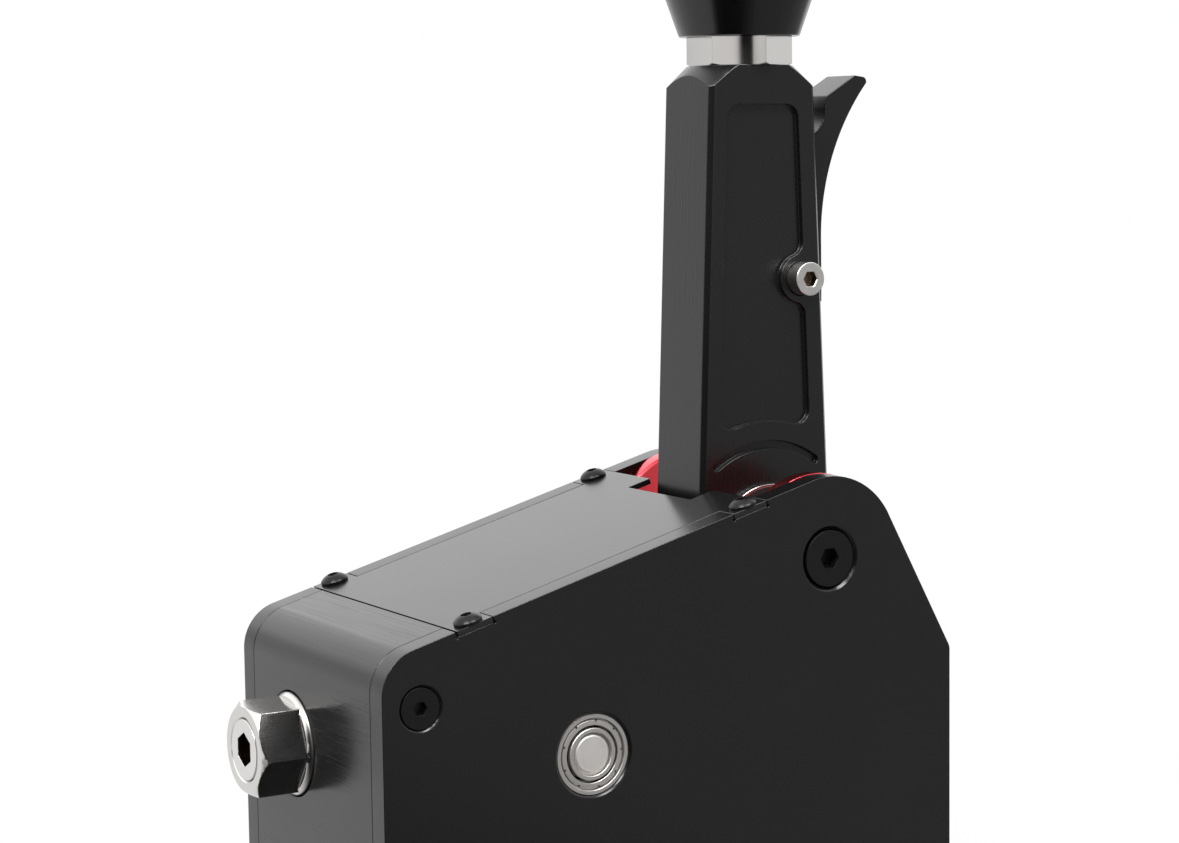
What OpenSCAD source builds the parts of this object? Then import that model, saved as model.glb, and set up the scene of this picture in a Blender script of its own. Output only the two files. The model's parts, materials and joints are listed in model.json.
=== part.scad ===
// Sequential gear shifter for a driving rig.
// A lever on ball bearings stands in a housing of flat plates. Its crank turns a rocker,
// and the rocker slides a yoke against springs, which bring the lever back to the middle.
// Frame: X runs from the adjuster (-X) to the trigger (+X), Y across, Z up.
// The origin is the middle of the four mounting holes, on the underside.

/* [Housing] */
// Length of the side plates
body_len = 131.4; // [128:0.2:145]
// Width over both side plates
body_w = 63; // [62:0.5:75]
// Thickness of a side plate
plate_t = 5; // [4.5:0.25:6]
// Thickness of the base plate
base_t = 10; // [9.5:0.5:12]
// Thickness of the front and rear walls
wall_t = 6; // [5.5:0.25:7]
// Slope of the top edge in degrees
top_slope = 15.3; // [14:0.1:16.5]
// Slope of the rear edge in degrees
rear_slope = 61.6; // [58:0.2:65]
// Radius of the plate's front top corner
front_round = 9; // [4:0.5:10]
// Radius of the plate's rear corner
rear_round = 3; // [1:0.5:5]
// Radius of the plate round the lever pivot
pivot_round = 16.7; // [16:0.1:18]
// Height of the feet that the wall screws go into
foot_h = 12; // [10:0.5:14]

/* [Top cover] */
// Thickness of the cover
cover_t = 1.2; // [1:0.1:1.6]
// Distance from the front to the cover's front edge, along the slope
cover_start = 16.2; // [15.5:0.1:17]
// Length of the cover along the slope
cover_len = 72.4; // [70:0.2:73]
// Length of a tab along the slope
tab_len = 8; // [7:0.25:10]
// Depth of the notch for the lever, along the slope
notch_len = 5.5; // [4:0.25:7]
// Width of the notch for the lever
notch_w = 24; // [22:0.5:28]
// Radius of the relief at a tab recess's corners
relief_r = 0.3; // [0.2:0.05:0.4]

/* [Mounting] */
// Distance between the mounting holes along X
mount_x = 80; // [60:1:90]
// Distance between the mounting holes along Y
mount_y = 36; // [30:1:40]
// Radius of a mounting hole's tapped wall
mount_r = 2.5; // [2:0.1:3]

/* [Pivots] */
// Distance from the front to the rocker shaft
shaft_from_front = 45.1; // [44:0.1:47]
// Height of the rocker shaft
shaft_h = 56; // [54:0.5:60]
// Distance from the front to the lever pivot
pivot_from_front = 101; // [99:0.2:103]
// Height of the lever pivot
pivot_h = 89.1; // [87:0.1:92]
// Radius of the rocker shaft
shaft_r = 4; // [3.5:0.1:4.2]
// Outer radius of a rocker bearing
shaft_bearing_r = 8; // [7.5:0.1:9]
// Width of a rocker bearing
shaft_bearing_w = 5; // [4:0.25:5]
// Radius of the pivot axle
axle_r = 5; // [4.5:0.1:5.2]
// Outer radius of a lever bearing
lever_bearing_r = 13; // [12.5:0.1:13.5]
// Width of a lever bearing
lever_bearing_w = 8; // [7:0.25:8]
// How far a lever bearing stands out of the lever
lever_bearing_proud = 1.3; // [0.8:0.1:2]
// Radius of a spacer's disc
spacer_r = 16.8; // [15:0.1:17.5]
// Thickness of a spacer's disc
spacer_t = 3.8; // [3:0.1:5]
// Radius of a spacer's hub
spacer_hub_r = 7; // [6.5:0.1:7.2]

/* [Lever] */
// Height of the lever's top above its pivot
lever_top = 99.4; // [96:0.2:110]
// Width of the lever along X at its top
lever_top_w = 25.6; // [25:0.1:27]
// Width of the lever along X at its pivot
lever_low_w = 33.2; // [32:0.1:33.4]
// Thickness of the lever along Y
lever_t = 18; // [17:0.25:20]
// Chamfer on the lever's upright edges
lever_chamfer = 1; // [0.6:0.1:1.8]
// Radius of the flat on the turned top
lever_flat_r = 10.9; // [10:0.1:12]
// Depth of the pocket in each side
pocket_d = 1.2; // [0.6:0.1:1.5]
// Edge left beside the pocket on the front side
pocket_front = 4; // [3:0.1:5]
// Edge left beside the pocket on the trigger side
pocket_rear = 4.6; // [4:0.1:6]
// Edge left above the pocket
pocket_top = 8; // [6:0.25:10]
// Radius of the pocket's lower end about the pivot
pocket_low_r = 26; // [24.5:0.25:30]
// Radius of the pocket's corners
pocket_round = 3; // [1:0.25:3.5]
// Radius of the arc groove about the pivot
groove_r = 21.1; // [19:0.1:22]
// Width of the arc groove
groove_w = 1.7; // [1:0.1:2]
// Half angle of the arc groove in degrees
groove_half = 35.5; // [20:0.5:38]
// Length of the crank from the pivot to its roller
crank_len = 36; // [35:0.25:37]
// Width of the crank
crank_w = 14; // [12.5:0.25:15]
// Radius of the crank's roller
roller_r = 6; // [5.5:0.1:6.2]
// Width of the rocker's plate and fork
rocker_w = 9; // [8:0.25:9.5]

/* [Knob] */
// Radius of the knob's stud
stud_r = 6; // [5:0.1:6.2]
// Depth of the stud in the lever
stud_depth = 20; // [14:0.5:20]
// Width across the flats of the collar
collar_af = 19; // [18:0.1:21]
// Height of the collar
collar_h = 6; // [4:0.25:8]
// Radius of the knob's lower edge
knob_base_r = 12.5; // [12:0.25:15]
// Height of the middle of the knob's ball
knob_ball_h = 26; // [22:0.5:30]
// Widening of the knob per unit of height
knob_flare = 0.35; // [0.3:0.01:0.45]
// Radius of the insert in the knob
insert_r = 8; // [7.5:0.25:9]
// Height of the insert in the knob
insert_h = 18; // [14:0.5:22]

/* [Trigger] */
// Place of the trigger's axis along X from the lever's pivot
trigger_x = 9; // [8.8:0.1:9.2]
// Place of the trigger's axis above the lever's pivot
trigger_z = 55.3; // [54:0.1:57]
// Width of the trigger
trigger_w = 10; // [8:0.25:10.5]
// Radius of the trigger's eye
trigger_eye_r = 5.3; // [4.6:0.1:5.5]
// Height of the trigger head's inner corner above the axis
trigger_rise = 37.8; // [37:0.1:38.5]
// Height of the trigger head's upper corner above the axis
trigger_tip = 42.1; // [41:0.1:43]
// Slope of the trigger head's top in degrees
trigger_slope = 30.5; // [28:0.5:33]
// Radius of the round at the trigger's tip
trigger_tip_r = 1; // [0.6:0.1:1.2]
// Radius of the hollow between the trigger's head and the lever
trigger_notch_r = 5; // [4.5:0.1:5.5]
// Place of that hollow along X from the lever's pivot
trigger_notch_x = 13.1; // [12.8:0.1:13.4]
// Height of that hollow above the axis
trigger_notch_z = 34.7; // [34:0.1:35]
// Reach of the trigger beyond the lever's pivot at its lower end
trigger_reach = 17.1; // [16.5:0.1:18]
// Radius of the trigger's hollow outer edge
trigger_hollow_r = 49.8; // [46:0.2:54]
// Travel of the trigger in degrees
trigger_travel = 7; // [4:0.5:7]
// Radius of the trigger's screw
trigger_screw_r = 2; // [1.6:0.1:2.6]
// How far the trigger's screw head stands out of the lever
trigger_head_proud = 3.5; // [1.5:0.1:3.8]
// Distance from the lever's pivot to the floor of the trigger's slot
slot_floor = 8.4; // [8.2:0.1:8.6]

/* [Adjuster] */
// Place of the adjuster across the housing
adjuster_y = 9; // [9:0.1:10]
// Height of the adjuster above the rocker shaft
adjuster_rise = 0.4; // [0:0.1:1]
// Radius of the adjuster's screw
adjuster_r = 6; // [5.5:0.1:6.2]
// Width across the flats of the adjuster's nut
adjuster_af = 17; // [16:0.1:17.5]
// Height of the adjuster's nut in front of the wall
adjuster_proud = 10.2; // [9:0.1:12]
// Radius of the nut's flange
flange_r = 10.2; // [9.9:0.1:11]
// Thickness of the nut's flange
flange_t = 2.4; // [2:0.1:2.5]
// Depth of the flange's seat in the front wall
flange_seat = 1.4; // [1:0.1:1.5]

/* [Centring] */
// Travel of the lever to each side in degrees
lever_travel = 8; // [5:0.5:8]
// Distance from the rocker shaft to the pin that moves the yoke
yoke_pin_up = 14; // [13:0.25:14.5]
// Radius of the yoke's pin
yoke_pin_r = 2.5; // [2:0.1:2.6]
// Length of the rocker's lower arm
arm_len = 38; // [36:0.5:39]
// Width of the rocker's lower arm
arm_w = 8; // [7:0.25:8.2]
// Thickness of the yoke along X
yoke_t = 6; // [5:0.25:6]
// Distance from the rocker shaft to the yoke's near face
yoke_back = 10; // [9.8:0.1:10.5]
// Distance from the rocker shaft to the spring seat's face
seat_back = 31; // [30:0.25:31.5]
// Thickness of the spring seat
seat_t = 5; // [4:0.25:5]
// Radius of the push rod
rod_r = 3; // [2.5:0.1:3.2]
// Drop of the guide pin below the adjuster
guide_drop = 13.4; // [13:0.1:14]
// Radius of the guide pin
guide_r = 2.5; // [2:0.1:2.6]
// Wire thickness of the preload spring
preload_wire = 2; // [1.2:0.1:2]
// Turns of the preload spring
preload_turns = 4; // [3:0.5:4.5]
// Drop of the return spring below the rocker shaft
return_drop = 24; // [23.5:0.25:26]
// Mean radius of the return spring
return_mean_r = 5; // [4.6:0.1:5.2]
// Wire thickness of the return spring
return_wire = 1.6; // [1:0.1:1.6]
// Turns of the return spring
return_turns = 7; // [4:0.5:9]
// Thickness of a stop pad
pad_t = 3; // [2:0.25:4]
// Thickness of a stop block
block_t = 6; // [5:0.25:7]

/* [Fits] */
// Room between pieces that move past each other
clear = 0.3; // [0.3:0.05:0.4]
// Room round a shaft that turns or slides in a bore
run = 0.06; // [0.03:0.01:0.1]
// Room round a piece that is pressed or screwed in
fit = 0.02; // [0.01:0.01:0.05]

/* [Hidden] */
$fn = 64;

// Small step that carries a cut past a face
over = 1;
// How far a round stands out of the straight edges that it joins, so that they cross
lap = 0.01;

// Ends and inside of the housing
front_x = -body_len / 2;
rear_x = body_len / 2;
inner_w = body_w - 2 * plate_t;
inner_y = inner_w / 2;
outer_y = body_w / 2;

// Axes of the rocker shaft and of the lever, as x and z
shaft = [front_x + shaft_from_front, shaft_h];
pivot = [front_x + pivot_from_front, pivot_h];

// Top edge: it touches the round over the pivot
top_normal = [-sin(top_slope), cos(top_slope)];
top_touch = pivot + pivot_round * top_normal;
function top_z(x) = top_touch[1] + (x - top_touch[0]) * tan(top_slope);

// Middle of the front corner's round
front_mid = [front_x + front_round, top_z(front_x + front_round) - front_round / cos(top_slope)];

// Rear edge: it touches the same round
rear_normal = [sin(rear_slope), cos(rear_slope)];
rear_run = [cos(rear_slope), -sin(rear_slope)];
rear_touch = pivot + pivot_round * rear_normal;
rear_mid_x = rear_x - rear_round;
rear_mid_fall = rear_round + rear_normal[0] * (rear_mid_x - rear_touch[0]);
rear_mid = [rear_mid_x, rear_touch[1] - rear_mid_fall / rear_normal[1]];

// Screws: radius, head radius, radius of the countersink, key width and key depth
m3_r = 1.5;
m3_head_r = 2.8;
m3_head_h = 1.8;
m3_rim = 0.5;
m3_af = 2;
m3_len = 7;
m4 = [2, 4, 4.5, 2.5, 1.6];
m6 = [3, 5.75, 6.75, 4, 2.6];
side_screw_len = plate_t + 10;
pivot_screw_len = plate_t + 11;
hole_room = 0.2;
head_drop = 0.15;
chamfer_flare = 1.7;
collar_edge = 0.45;
collar_turn = 26;

// Places of the side screws, as x and z
corner_inset = 8;
corner_drop = 11.6;
base_screw_x = 24;
corner_x = front_x + corner_inset;
foot_screw_z = base_t + foot_h / 2;
side_screw_places = [
  [corner_x, top_z(corner_x) - corner_drop],
  [corner_x, foot_screw_z],
  [rear_x - corner_inset, foot_screw_z],
  [-base_screw_x, base_t / 2],
  [base_screw_x, base_t / 2]
];
foot_len = corner_inset + foot_h / 2;
corner_block = corner_drop + 7;
leaf_t = 4;
leaf_gap = 12;

// Cover, in the slope's own frame
slope_origin = [front_x, top_z(front_x)];
seam_room = 0.2;
tab_room = 0.15;
tab_starts = [cover_start, cover_start + cover_len - tab_len];

// Lever bearings
lever_bearing_y = lever_t / 2 + lever_bearing_proud - lever_bearing_w / 2;
bearing_face_y = lever_t / 2 + lever_bearing_proud;
lever_pocket_d = lever_bearing_w - lever_bearing_proud;
lever_web_r = lever_bearing_r - 4;
lever_race_r = axle_r + 2.5;
lever_rim_t = 2;
lever_lip = 0.4;
spacer_edge = 0.5;

// Rocker bearings sit a little below the plate's face
bearing_recess = 0.5;
bore_edge = 0.5;
shaft_bearing_y = outer_y - bearing_recess - shaft_bearing_w / 2;
shaft_end_y = outer_y - bearing_recess - 0.2;
shaft_race_r = shaft_r + 1.2;
shaft_rim_t = 1.2;
shaft_lip = 0.35;

// Crank and fork lie on the line from the lever's pivot to the rocker shaft
pivot_gap = norm(shaft - pivot);
crank_angle = atan2(shaft[1] - pivot[1], shaft[0] - pivot[0]);
fork_angle = crank_angle - 180;
fork_len = pivot_gap - crank_len;
roller_at = pivot + crank_len * [cos(crank_angle), sin(crank_angle)];
fork_reach = 5;
fork_prong = 6;
fork_half = roller_r + clear + fork_prong;
fork_head = roller_r + 5.5;
rocker_hub_r = shaft_r + 3;
rocker_neck_w = 12;
rocker_eye_r = yoke_pin_r + 2.5;
crank_slot_w = rocker_w + 1;
crank_slot_depth = fork_reach + 6;
crank_pin_r = 2.5;
roller_w = rocker_w - 0.2;

// The rocker turns by this share of the lever's angle
rocker_ratio = crank_len / fork_len;
rocker_travel = lever_travel * rocker_ratio;

// Lever's sides lean in by this angle
lever_lean = atan((lever_low_w - lever_top_w) / 2 / lever_top);
function lever_half(z) = lever_low_w / 2 - (lever_low_w - lever_top_w) / 2 * z / lever_top;
lever_hub_r = lever_low_w / 2;

// Trigger, in the lever's frame
slot_w = trigger_w + 2 * clear;
slot_room = 0.8;
slot_top = trigger_z + trigger_notch_z + clear;
slot_low = trigger_z - trigger_eye_r - slot_room;
slot_step = trigger_z + trigger_eye_r + slot_room;
eye_floor = trigger_x - trigger_eye_r - clear;
trigger_inner_low = slot_floor + 1.2;
trigger_inner_top = slot_floor + 2 * clear + trigger_rise * sin(trigger_travel);
trigger_notch = [trigger_notch_x, trigger_z + trigger_notch_z];
trigger_notch_low = trigger_notch[1]
  - sqrt(pow(trigger_notch_r, 2) - pow(trigger_inner_top - trigger_notch_x, 2));
trigger_lip = 0.5;
trigger_corner = [trigger_notch_x + trigger_notch_r + trigger_lip, trigger_z + trigger_rise];
trigger_peak = trigger_corner
  + [(trigger_tip - trigger_rise) / tan(trigger_slope), trigger_tip - trigger_rise];
trigger_tip_mid = trigger_peak + [2.1, -0.3 - trigger_tip_r];
trigger_hollow_z = trigger_z + 8.2;
trigger_head_r = 3.5;
trigger_head_h = 4;
trigger_screw_short = 0.5;
trigger_boss_r = 5;
trigger_key = 3;
switch_z = trigger_z + 10.7;
switch_side = 6;
switch_d = 4;
switch_button = 0.2;
button_r = 1.5;
spring_z = trigger_z + 16.3;
spring_hole_r = 2.3;
spring_hole_d = 3.5;
trigger_spring_wire = 0.6;
trigger_spring_mean_r = 1.6;
trigger_spring_turns = 4;
function trigger_inner(z) = trigger_inner_low
  + (trigger_inner_top - trigger_inner_low) * (z - slot_step) / (trigger_notch_low - slot_step);

// Knob: a cone that runs on into a ball
knob_z = lever_top + collar_h;
stud_short = 1;
knob_slant = sqrt(1 + knob_flare * knob_flare);
knob_ball_r = (knob_base_r + knob_flare * knob_ball_h) / knob_slant;
knob_join_r = knob_ball_r / knob_slant;
knob_join_z = knob_ball_h - knob_ball_r * knob_flare / knob_slant;

// Adjuster and spring line, along X
adjuster_z = shaft_h + adjuster_rise;
wall_in = front_x + wall_t;
nut_face = front_x - adjuster_proud;
screw_end = shaft[0] - seat_back + 4;
rod_front = screw_end - 12.5;
rod_bore_end = rod_front - 3.5;
clip_t = 0.9;
clip_r = adjuster_r + 2.5;
clip_groove_r = adjuster_r - 0.8;
adjuster_key = 6;
adjuster_key_d = 5;
adjuster_key_turn = 30;
nut_turn = 6;
nut_edge = 0.15;
nut_flare = 1.2;
nut_sink = 0.6;
flange_room = 0.3;
flange_rim = 1.6;
seat_face = shaft[0] - seat_back;
yoke_face = shaft[0] - yoke_back - yoke_t;
seat_r = 9.5;
lug_w = 8;
lug_r = guide_r + 2.5;
guide_z = adjuster_z - guide_drop;
guide_end = shaft[0] - 6;
pin_seat = wall_t - 1.6;
yoke_half = 9;
yoke_arm_w = 7;
yoke_arm_low = shaft_h + shaft_r + 3.6;
yoke_arm_high = shaft_h + yoke_pin_up + yoke_pin_r + 3.5;
yoke_slot_high = shaft_h + yoke_pin_up + yoke_pin_r + 1;
yoke_prong = 3.7;
preload_mean_r = adjuster_r + clear + preload_wire / 2 + 0.5;

// Lower arm, stops and board
pad_face = arm_len * sin(rocker_travel) + arm_w / 2 * cos(rocker_travel) + clear;
pad_h = 6;
pad_low = shaft_h - arm_len;
block_w = 16;
block_face = pad_face + pad_t;
block_top = pad_low + pad_h + 1;
block_screw_len = base_t + 7;
board_screw_in = 4;
return_z = shaft_h - return_drop;
return_end = shaft[0] - arm_w / 2 - clear;
peg_r = return_mean_r - return_wire / 2 - 0.6;
peg_len = 12;
magnet_r = 3;
magnet_t = 2;
magnet_z = shaft_h - 20;
board_t = 1.6;
board_top = magnet_z + 8;
board_edge = base_t + over;
board_screw_r = 1.25;
board_screw_z = base_t + 8;
board_head_h = 1.5;

// Data socket in the rear wall
socket_w = 8.9;
socket_h = 3.3;
socket_len = 8;
socket_skin = 0.5;
socket_collar = 2;
socket_rim = 1.5;
socket_back = 1.5;
socket_z = base_t + foot_h + 5;

// A round bar along Y, from y0 to y1
module bar_y(r, y0, y1) {
  translate([0, y1, 0])
    rotate([90, 0, 0])
      cylinder(h = y1 - y0, r = r);
}

// A round bar along X, from x0 to x1
module bar_x(r, x0, x1) {
  translate([x0, 0, 0])
    rotate([0, 90, 0])
      cylinder(h = x1 - x0, r = r);
}

// A hexagonal bar along X, given across its flats, with two corners level at no turn
module hex_x(af, x0, x1, turn) {
  translate([x0, 0, 0])
    rotate([0, 90, 0])
      rotate(30 + turn)
        cylinder(h = x1 - x0, r = af / 2 / cos(30), $fn = 6);
}

// A flat outline in x and z, thickened along Y
module slab(y0, y1) {
  translate([0, y1, 0])
    rotate([90, 0, 0])
      linear_extrude(y1 - y0)
        children();
}

// Moves to a place given as x and z
module place(p) {
  translate([p[0], 0, p[1]])
    children();
}

// Stands a shape made along Z on a side plate's outer face: side is -1 or 1
module on_plate(side) {
  translate([0, side * outer_y, 0])
    rotate([-90 * side, 0, 0])
      children();
}

// The frame of the sloped top: x along the slope from the front, z out of the cover
module on_slope() {
  place(slope_origin)
    rotate([0, -top_slope, 0])
      children();
}

// Countersunk screw with its head's top at z = 0 and its shank below
module sunk_screw(size, len) {
  rim = size[2] - size[1] - head_drop;
  difference() {
    rotate_extrude()
      polygon([
        [0, 0], [size[1], 0], [size[1], -rim],
        [size[0], size[0] - size[1] - rim], [size[0], -len], [0, -len]
      ]);
    translate([0, 0, -size[4]])
      cylinder(h = size[4] + over, r = size[3] / 2 / cos(30), $fn = 6);
  }
}

// Hole for a countersunk screw, cut from an outer face at z = 0
module sunk_hole(size, depth) {
  hole_r = size[0] + hole_room;
  sink_r = size[2] + 2 * fit;
  translate([0, 0, -depth - over])
    cylinder(h = depth + 2 * over, r = hole_r);
  translate([0, 0, hole_r - sink_r])
    cylinder(h = sink_r - hole_r + over, r1 = hole_r, r2 = sink_r + over);
}

// Chamfer round a bore, cut from an outer face at z = 0
module bore_chamfer(r) {
  translate([0, 0, -bore_edge])
    cylinder(h = bore_edge + over, r1 = r, r2 = r + bore_edge + over);
}

// Outer ring of a bearing with both shields, round Z
module bearing_outer(r, bore_r, w, shield_r, lip) {
  h = w / 2;
  shield_t = 0.4;
  rotate_extrude()
    polygon([
      [r, -h], [r, h], [bore_r, h], [bore_r, h - lip],
      [shield_r, h - lip], [shield_r, h - lip - shield_t],
      [bore_r, h - lip - shield_t], [bore_r, lip + shield_t - h],
      [shield_r, lip + shield_t - h], [shield_r, lip - h],
      [bore_r, lip - h], [bore_r, -h]
    ]);
}

// Plain ring round Z
module ring(r, bore_r, w) {
  difference() {
    cylinder(h = w, r = r, center = true);
    cylinder(h = w + 2 * over, r = bore_r, center = true);
  }
}

// Points of a coil that runs along X from x0 to x1
function coil_path(x0, x1, mean_r, turns, steps) = [
  for (i = [0 : steps])
    [x0 + (x1 - x0) * i / steps, mean_r * cos(360 * turns * i / steps), mean_r * sin(360 * turns * i / steps)]
];

// Least gap between a coil's turns, measured on its points
function coil_gap(path, wire, skip) = min([
  for (i = [0 : len(path) - 1])
    for (j = [i + skip : 1 : len(path) - 1])
      norm(path[i] - path[j]) - wire
]);

// Coil spring along X: one unbroken round wire, its ends flat against what they meet
module coil(x0, x1, mean_r, wire, turns) {
  sides = 6;
  skip = 5;
  steps = ceil(8 * turns);
  path = coil_path(x0 + wire / 2, x1 - wire / 2, mean_r, turns, steps);
  echo(coil_gap = coil_gap(path, wire, skip));
  points = [
    for (i = [0 : steps])
      let (
        ahead = path[min(i + 1, steps)] - path[max(i - 1, 0)],
        along = ahead / norm(ahead),
        out = [0, cos(360 * turns * i / steps), sin(360 * turns * i / steps)],
        up = cross(along, out)
      )
      for (k = [0 : sides - 1])
        path[i] + wire / 2 * (cos(360 * k / sides) * out + sin(360 * k / sides) * up / norm(up))
  ];
  walls = [
    for (i = [0 : steps - 1])
      for (k = [0 : sides - 1])
        let (
          a = i * sides + k,
          b = i * sides + (k + 1) % sides
        )
        for (f = [[a, b, a + sides], [b, b + sides, a + sides]])
          f
  ];
  start = [for (k = [1 : sides - 2]) [0, k + 1, k]];
  last = steps * sides;
  finish = [for (k = [1 : sides - 2]) [last, last + k, last + k + 1]];
  polyhedron(points = points, faces = concat(walls, start, finish));
}

// The outline that the side plates share, from y0 to y1
module outline(y0, y1) {
  slab(y0, y1)
    polygon([
      [front_x, 0], [front_x, front_mid[1]], front_mid + front_round * top_normal,
      top_touch, rear_touch,
      rear_mid + rear_round * rear_normal, [rear_x, rear_mid[1]], [rear_x, 0]
    ]);
  place(front_mid)
    bar_y(front_round + lap, y0, y1);
  place(pivot)
    bar_y(pivot_round + lap, y0, y1);
  place(rear_mid)
    bar_y(rear_round + lap, y0, y1);
}

// Side screw holes in the piece that the screws go into, on both sides
module side_screw_bores(places) {
  for (side = [-1, 1])
    for (p = places)
      place(p)
        on_plate(side)
          translate([0, 0, -side_screw_len - over])
            cylinder(h = side_screw_len + 2 * over, r = m4[0] + fit);
}

module base_plate() {
  color([0.16, 0.16, 0.17])
    difference() {
      translate([front_x + wall_t, -inner_y, 0])
        cube([body_len - 2 * wall_t, inner_w, base_t]);
      for (x = [-1, 1])
        for (y = [-1, 1])
          translate([x * mount_x / 2, y * mount_y / 2, -over])
            cylinder(h = base_t + 2 * over, r = mount_r);
      side_screw_bores([side_screw_places[3], side_screw_places[4]]);
      block_screw_places()
        mirror([0, 0, 1])
          sunk_hole(m4, base_t);
    }
}

// Side plate: side is -1 on the near side and 1 on the far side
module side_plate(side) {
  y0 = side < 0 ? -outer_y : inner_y;
  color([0.14, 0.14, 0.145])
    difference() {
      outline(y0, y0 + plate_t);
      place(shaft) {
        bar_y(shaft_bearing_r + fit, y0 - over, y0 + plate_t + over);
        on_plate(side)
          bore_chamfer(shaft_bearing_r + fit);
      }
      place(pivot)
        on_plate(side)
          sunk_hole(m6, plate_t);
      for (p = side_screw_places)
        place(p)
          on_plate(side)
            sunk_hole(m4, plate_t);
      on_slope()
        for (s = tab_starts) {
          translate([s - tab_room, y0 - over, -cover_t])
            cube([tab_len + 2 * tab_room, plate_t + 2 * over, cover_t + over]);
          for (edge = [s - tab_room, s + tab_len + tab_room])
            translate([edge, 0, -cover_t])
              bar_y(relief_r, y0 - over, y0 + plate_t + over);
          translate([s + tab_len / 2, side * (outer_y - plate_t / 2), -m3_len - over])
            cylinder(h = m3_len + over, r = m3_r + fit);
        }
    }
}

module side_plate_near() {
  side_plate(-1);
}

module side_plate_far() {
  side_plate(1);
}

module front_wall() {
  seam = slope_origin + cover_start * [cos(top_slope), sin(top_slope)];
  color([0.4, 0.4, 0.41])
    difference() {
      intersection() {
        outline(-inner_y, inner_y);
        union() {
          translate([front_x - over, -outer_y, -over])
            cube([wall_t + over, body_w, pivot_h]);
          slab(-outer_y, outer_y)
            polygon([
              seam - corner_block * top_normal, seam + over * top_normal,
              [front_x - over, seam[1]], [front_x - over, seam[1] - corner_block * top_normal[1]]
            ]);
          translate([front_x - over, -outer_y, base_t])
            cube([foot_len + over, body_w, foot_h]);
        }
      }
      side_screw_bores([side_screw_places[0], side_screw_places[1]]);
      translate([0, adjuster_y, adjuster_z]) {
        bar_x(adjuster_r + run, front_x - over, front_x + foot_len + over);
        bar_x(flange_r + flange_room, front_x - over, front_x + flange_seat);
        bar_x(seat_r + 2 * clear, wall_in, yoke_face);
      }
      translate([0, adjuster_y, guide_z])
        bar_x(guide_r + fit, wall_in - pin_seat, wall_in + over);
      translate([0, 0, return_z])
        bar_x(peg_r + fit, wall_in - pin_seat, wall_in + over);
    }
}

module rear_wall() {
  leaf_start = rear_touch + leaf_gap * rear_run;
  leaf_end = rear_touch + body_len * rear_run;
  color([0.36, 0.36, 0.37])
    difference() {
      intersection() {
        outline(-inner_y, inner_y);
        union() {
          translate([rear_x - wall_t, -outer_y, -over])
            cube([wall_t + over, body_w, pivot_h]);
          slab(-outer_y, outer_y)
            polygon([
              leaf_start + over * rear_normal, leaf_end + over * rear_normal,
              leaf_end - leaf_t * rear_normal, leaf_start - leaf_t * rear_normal
            ]);
          translate([rear_x - foot_len, -outer_y, base_t])
            cube([foot_len + over, body_w, foot_h]);
        }
      }
      side_screw_bores([side_screw_places[2]]);
      place(pivot)
        bar_y(max(spacer_r, lever_hub_r) + 2 * clear, -outer_y, outer_y);
      translate([rear_x - foot_len - over, -socket_w / 2 - fit, socket_z - socket_h / 2 - fit])
        cube([foot_len + 2 * over, socket_w + 2 * fit, socket_h + 2 * fit]);
    }
}

module top_cover() {
  color([0.55, 0.55, 0.56])
    on_slope()
      difference() {
        union() {
          translate([cover_start + seam_room, seam_room - inner_y, -cover_t])
            cube([cover_len - seam_room, inner_w - 2 * seam_room, cover_t]);
          for (s = tab_starts)
            translate([max(s, cover_start + seam_room), -outer_y, -cover_t])
              cube([tab_len - (s == cover_start ? seam_room : 0), body_w, cover_t]);
        }
        translate([cover_start + cover_len - notch_len, -notch_w / 2, -cover_t - over])
          cube([notch_len + over, notch_w, cover_t + 2 * over]);
        cover_screw_places()
          translate([0, 0, -cover_t - over])
            cylinder(h = cover_t + 2 * over, r = m3_r + fit);
      }
}

// Places of the cover screws, in the slope's frame
module cover_screw_places() {
  for (side = [-1, 1])
    for (s = tab_starts)
      translate([s + tab_len / 2, side * (outer_y - plate_t / 2), 0])
        children();
}

module cover_screws() {
  dome_h = m3_head_h - m3_rim;
  ball_r = (pow(m3_head_r, 2) + pow(dome_h, 2)) / 2 / dome_h;
  color([0.1, 0.1, 0.1])
    on_slope()
      cover_screw_places()
        difference() {
          union() {
            intersection() {
              translate([0, 0, m3_head_h - ball_r])
                sphere(ball_r);
              cylinder(h = m3_head_h + over, r = m3_head_r);
            }
            translate([0, 0, -m3_len])
              cylinder(h = m3_len + m3_head_h / 2, r = m3_r);
          }
          translate([0, 0, m3_head_h / 3])
            cylinder(h = m3_head_h, r = m3_af / 2 / cos(30), $fn = 6);
        }
}

module side_screws() {
  color([0.08, 0.08, 0.08])
    for (side = [-1, 1])
      for (p = side_screw_places)
        place(p)
          on_plate(side)
            translate([0, 0, -head_drop])
              sunk_screw(m4, side_screw_len - head_drop);
}

module pivot_screws() {
  color([0.08, 0.08, 0.08])
    for (side = [-1, 1])
      place(pivot)
        on_plate(side)
          translate([0, 0, -head_drop])
            sunk_screw(m6, pivot_screw_len - head_drop);
}

module pivot_axle() {
  spare = 2;
  bore_d = pivot_screw_len - plate_t + spare;
  color([0.7, 0.7, 0.72])
    place(pivot)
      difference() {
        bar_y(axle_r, -inner_y, inner_y);
        bar_y(m6[0] + fit, -inner_y - over, bore_d - inner_y);
        bar_y(m6[0] + fit, inner_y - bore_d, inner_y + over);
      }
}

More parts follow.
